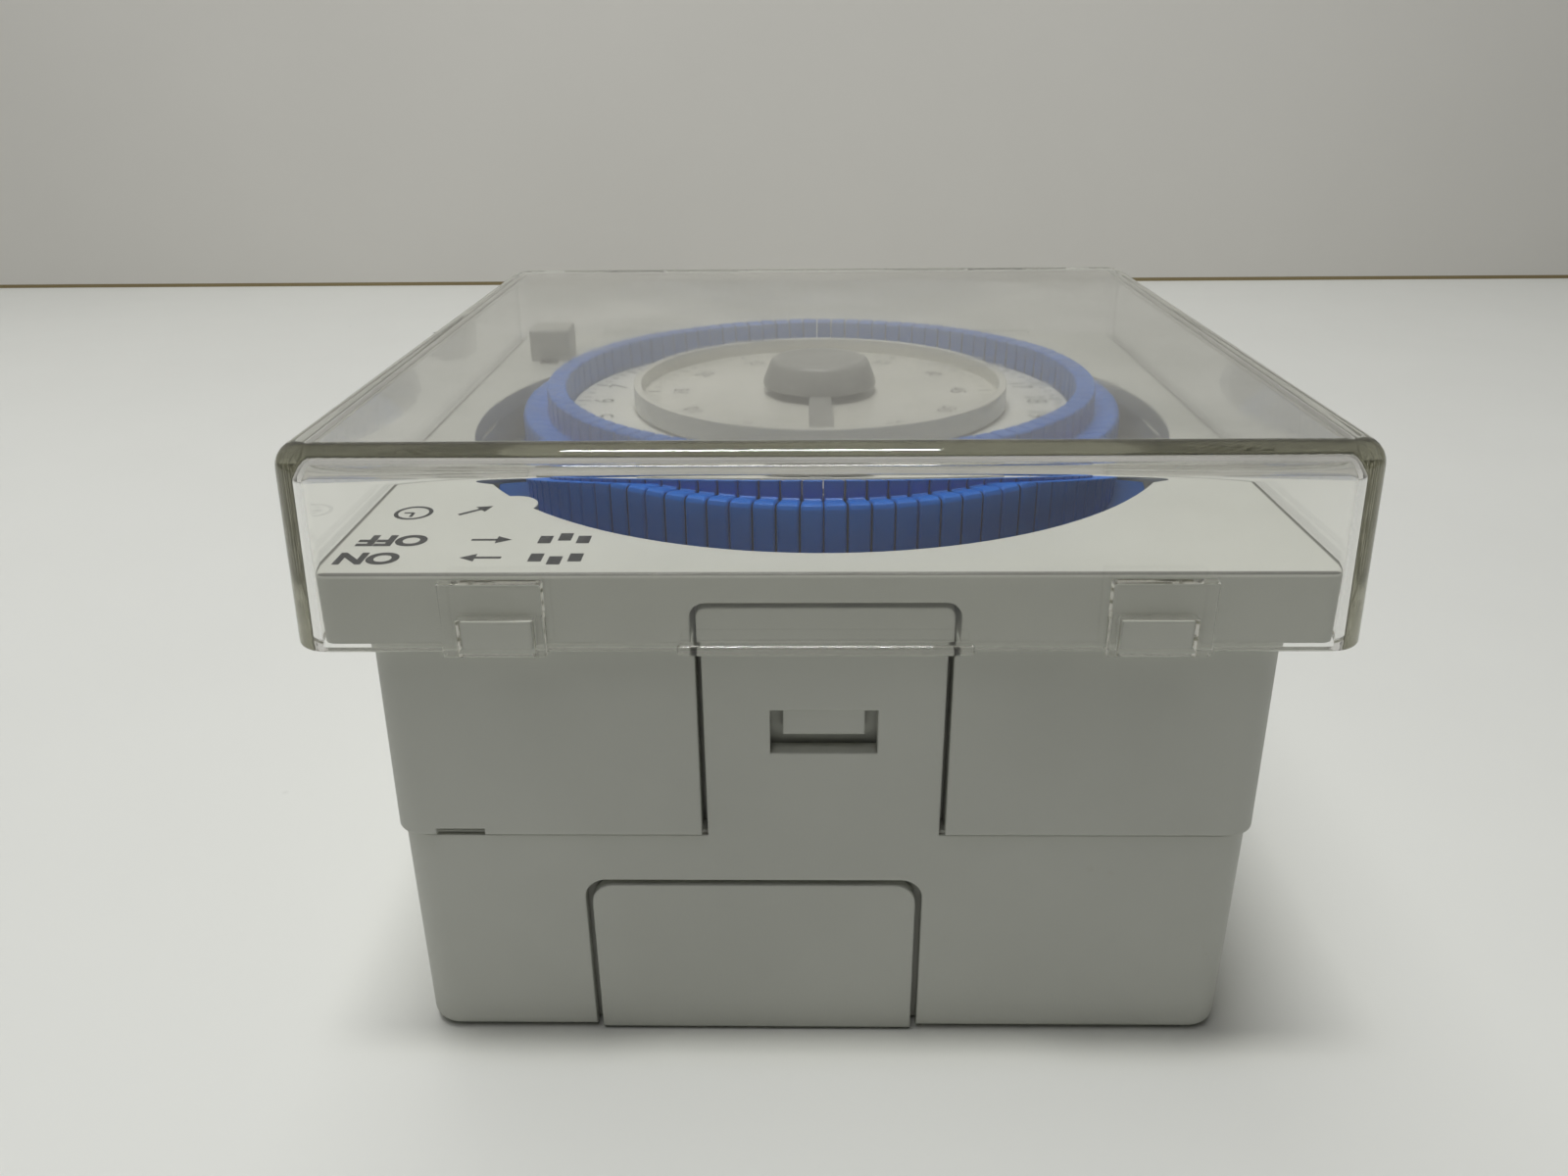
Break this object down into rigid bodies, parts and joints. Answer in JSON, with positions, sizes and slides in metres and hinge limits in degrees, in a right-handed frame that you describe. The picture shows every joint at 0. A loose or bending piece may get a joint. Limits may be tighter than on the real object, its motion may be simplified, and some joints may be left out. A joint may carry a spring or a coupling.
{
  "type": "mechanical time switch",
  "caption": "Square plug-in time switch lying on its back, with a terminal base, a clear lift-off cover and a ring of blue sliding trippers round a day dial with a setting knob.",
  "frame": {"origin": "centre of the base's underside, which goes against the wall", "axes": "+Z away from the wall towards the cover, -Y towards the near end in the picture, +X to the right"},
  "size_m": [0.085, 0.0868, 0.0596],
  "materials": {
    "grey_plastic": "fine matt moulding",
    "clear_plastic": "clear polished",
    "blue_plastic": "satin",
    "white_plastic": "printed satin",
    "pale_plastic": "glossy",
    "dark_plastic": "matt",
    "knob_plastic": "satin",
    "brass": "turned",
    "steel": "plated",
    "copper_wire": "enamelled winding"
  },
  "bodies": {
    "base": {"terminal_base": "grey_plastic", "terminal_block": "dark_plastic", "terminal_clamps": "brass", "terminal_screws": "steel", "socket_contacts": "brass", "upper_case": "grey_plastic", "module_back": "grey_plastic", "module_back_screws": "steel", "plug_blades": "brass", "movement_plate": "steel", "movement_pillars": "steel", "movement_screws": "steel", "motor_can": "steel", "motor_coil": "copper_wire", "dial_post": "brass", "minute_drum": "pale_plastic", "lever_pivot": "steel", "microswitch_body": "dark_plastic"},
    "dial": {"tripper_carrier": "blue_plastic", "dial_bush": "brass", "dial_disc": "white_plastic"},
    "minute": {"centre_arbor": "steel", "minute_wheel": "brass", "minute_hand": "knob_plastic", "setting_knob": "knob_plastic"},
    "motion": {"motion_wheel": "brass"},
    "motor_output": {"motor_pinion": "brass"},
    "lever": {"switch_lever": "steel"},
    "plunger": {"microswitch_plunger": "knob_plastic"},
    "override": {"override_slider": "knob_plastic"},
    "near_shutter": {"front_shutter": "grey_plastic"},
    "far_shutter": {"rear_shutter": "grey_plastic"},
    "cover": {"clear_cover": "clear_plastic"},
    "hour_01": {"tripper_01": "blue_plastic"},
    "hour_02": {"tripper_02": "blue_plastic"},
    "hour_03": {"tripper_03": "blue_plastic"},
    "hour_04": {"tripper_04": "blue_plastic"},
    "hour_05": {"tripper_05": "blue_plastic"},
    "hour_06": {"tripper_06": "blue_plastic"},
    "hour_07": {"tripper_07": "blue_plastic"},
    "hour_08": {"tripper_08": "blue_plastic"},
    "hour_09": {"tripper_09": "blue_plastic"},
    "hour_10": {"tripper_10": "blue_plastic"},
    "hour_11": {"tripper_11": "blue_plastic"},
    "hour_12": {"tripper_12": "blue_plastic"},
    "hour_13": {"tripper_13": "blue_plastic"},
    "hour_14": {"tripper_14": "blue_plastic"},
    "hour_15": {"tripper_15": "blue_plastic"},
    "hour_16": {"tripper_16": "blue_plastic"},
    "hour_17": {"tripper_17": "blue_plastic"},
    "hour_18": {"tripper_18": "blue_plastic"},
    "hour_19": {"tripper_19": "blue_plastic"},
    "hour_20": {"tripper_20": "blue_plastic"},
    "hour_21": {"tripper_21": "blue_plastic"},
    "hour_22": {"tripper_22": "blue_plastic"},
    "hour_23": {"tripper_23": "blue_plastic"},
    "hour_24": {"tripper_24": "blue_plastic"}
  },
  "joints": [
    {"name": "dial_spin", "type": "hinge", "parent": "base", "child": "dial", "pos_m": [0, 0, 0.045], "axis": [0, 0, -1], "continuous": true},
    {"name": "minute_spin", "type": "hinge", "parent": "base", "child": "minute", "pos_m": [0, 0, 0.052], "axis": [0, 0, -1], "continuous": true},
    {"name": "motion_spin", "type": "hinge", "parent": "base", "child": "motion", "pos_m": [0.0175, 0, 0.03], "axis": [0, 0, -1], "continuous": true},
    {"name": "motor_spin", "type": "hinge", "parent": "base", "child": "motor_output", "pos_m": [-0.01273, -0.01273, 0.034], "axis": [0, 0, -1], "continuous": true},
    {"name": "lever_swing", "type": "hinge", "parent": "base", "child": "lever", "pos_m": [-0.0335, 0.018, 0.042], "axis": [0, 0, 1], "range_deg": [0, 8], "stiffness_Nm_per_rad": 0.02},
    {"name": "plunger_push", "type": "slide", "parent": "base", "child": "plunger", "axis": [1, 0, 0], "range_m": [0, 0.0017]},
    {"name": "override_slide", "type": "slide", "parent": "base", "child": "override", "axis": [0, -1, 0], "range_m": [0, 0.003]},
    {"name": "near_shutter_slide", "type": "slide", "parent": "base", "child": "near_shutter", "axis": [0, 0, -1], "range_m": [0, 0.016]},
    {"name": "far_shutter_slide", "type": "slide", "parent": "base", "child": "far_shutter", "axis": [0, 0, -1], "range_m": [0, 0.016]},
    {"name": "cover_lift", "type": "slide", "parent": "base", "child": "cover", "axis": [0, 0, 1], "range_m": [0, 0.02]},
    {"name": "hour_01_slide", "type": "slide", "parent": "dial", "child": "hour_01", "axis": [0.9914, 0.1305, 0], "range_m": [0, 0.0024]},
    {"name": "hour_02_slide", "type": "slide", "parent": "dial", "child": "hour_02", "axis": [0.9239, 0.3827, 0], "range_m": [0, 0.0024]},
    {"name": "hour_03_slide", "type": "slide", "parent": "dial", "child": "hour_03", "axis": [0.7934, 0.6088, 0], "range_m": [0, 0.0024]},
    {"name": "hour_04_slide", "type": "slide", "parent": "dial", "child": "hour_04", "axis": [0.6088, 0.7934, 0], "range_m": [0, 0.0024]},
    {"name": "hour_05_slide", "type": "slide", "parent": "dial", "child": "hour_05", "axis": [0.3827, 0.9239, 0], "range_m": [0, 0.0024]},
    {"name": "hour_06_slide", "type": "slide", "parent": "dial", "child": "hour_06", "axis": [0.1305, 0.9914, 0], "range_m": [0, 0.0024]},
    {"name": "hour_07_slide", "type": "slide", "parent": "dial", "child": "hour_07", "axis": [-0.1305, 0.9914, 0], "range_m": [0, 0.0024]},
    {"name": "hour_08_slide", "type": "slide", "parent": "dial", "child": "hour_08", "axis": [-0.3827, 0.9239, 0], "range_m": [0, 0.0024]},
    {"name": "hour_09_slide", "type": "slide", "parent": "dial", "child": "hour_09", "axis": [-0.6088, 0.7934, 0], "range_m": [0, 0.0024]},
    {"name": "hour_10_slide", "type": "slide", "parent": "dial", "child": "hour_10", "axis": [-0.7934, 0.6088, 0], "range_m": [0, 0.0024]},
    {"name": "hour_11_slide", "type": "slide", "parent": "dial", "child": "hour_11", "axis": [-0.9239, 0.3827, 0], "range_m": [0, 0.0024]},
    {"name": "hour_12_slide", "type": "slide", "parent": "dial", "child": "hour_12", "axis": [-0.9914, 0.1305, 0], "range_m": [0, 0.0024]},
    {"name": "hour_13_slide", "type": "slide", "parent": "dial", "child": "hour_13", "axis": [-0.9914, -0.1305, 0], "range_m": [0, 0.0024]},
    {"name": "hour_14_slide", "type": "slide", "parent": "dial", "child": "hour_14", "axis": [-0.9239, -0.3827, 0], "range_m": [0, 0.0024]},
    {"name": "hour_15_slide", "type": "slide", "parent": "dial", "child": "hour_15", "axis": [-0.7934, -0.6088, 0], "range_m": [0, 0.0024]},
    {"name": "hour_16_slide", "type": "slide", "parent": "dial", "child": "hour_16", "axis": [-0.6088, -0.7934, 0], "range_m": [0, 0.0024]},
    {"name": "hour_17_slide", "type": "slide", "parent": "dial", "child": "hour_17", "axis": [-0.3827, -0.9239, 0], "range_m": [0, 0.0024]},
    {"name": "hour_18_slide", "type": "slide", "parent": "dial", "child": "hour_18", "axis": [-0.1305, -0.9914, 0], "range_m": [0, 0.0024]},
    {"name": "hour_19_slide", "type": "slide", "parent": "dial", "child": "hour_19", "axis": [0.1305, -0.9914, 0], "range_m": [0, 0.0024]},
    {"name": "hour_20_slide", "type": "slide", "parent": "dial", "child": "hour_20", "axis": [0.3827, -0.9239, 0], "range_m": [0, 0.0024]},
    {"name": "hour_21_slide", "type": "slide", "parent": "dial", "child": "hour_21", "axis": [0.6088, -0.7934, 0], "range_m": [0, 0.0024]},
    {"name": "hour_22_slide", "type": "slide", "parent": "dial", "child": "hour_22", "axis": [0.7934, -0.6088, 0], "range_m": [0, 0.0024]},
    {"name": "hour_23_slide", "type": "slide", "parent": "dial", "child": "hour_23", "axis": [0.9239, -0.3827, 0], "range_m": [0, 0.0024]},
    {"name": "hour_24_slide", "type": "slide", "parent": "dial", "child": "hour_24", "axis": [0.9914, -0.1305, 0], "range_m": [0, 0.0024]}
  ],
  "couplings": [
    {"joint": "dial_spin", "follows": "minute_spin", "ratio": 0.041667},
    {"joint": "motion_spin", "follows": "minute_spin", "ratio": -0.25},
    {"joint": "motor_spin", "follows": "minute_spin", "ratio": -5},
    {"joint": "plunger_push", "follows": "lever_swing", "m_per_rad": 0.0108}
  ]
}
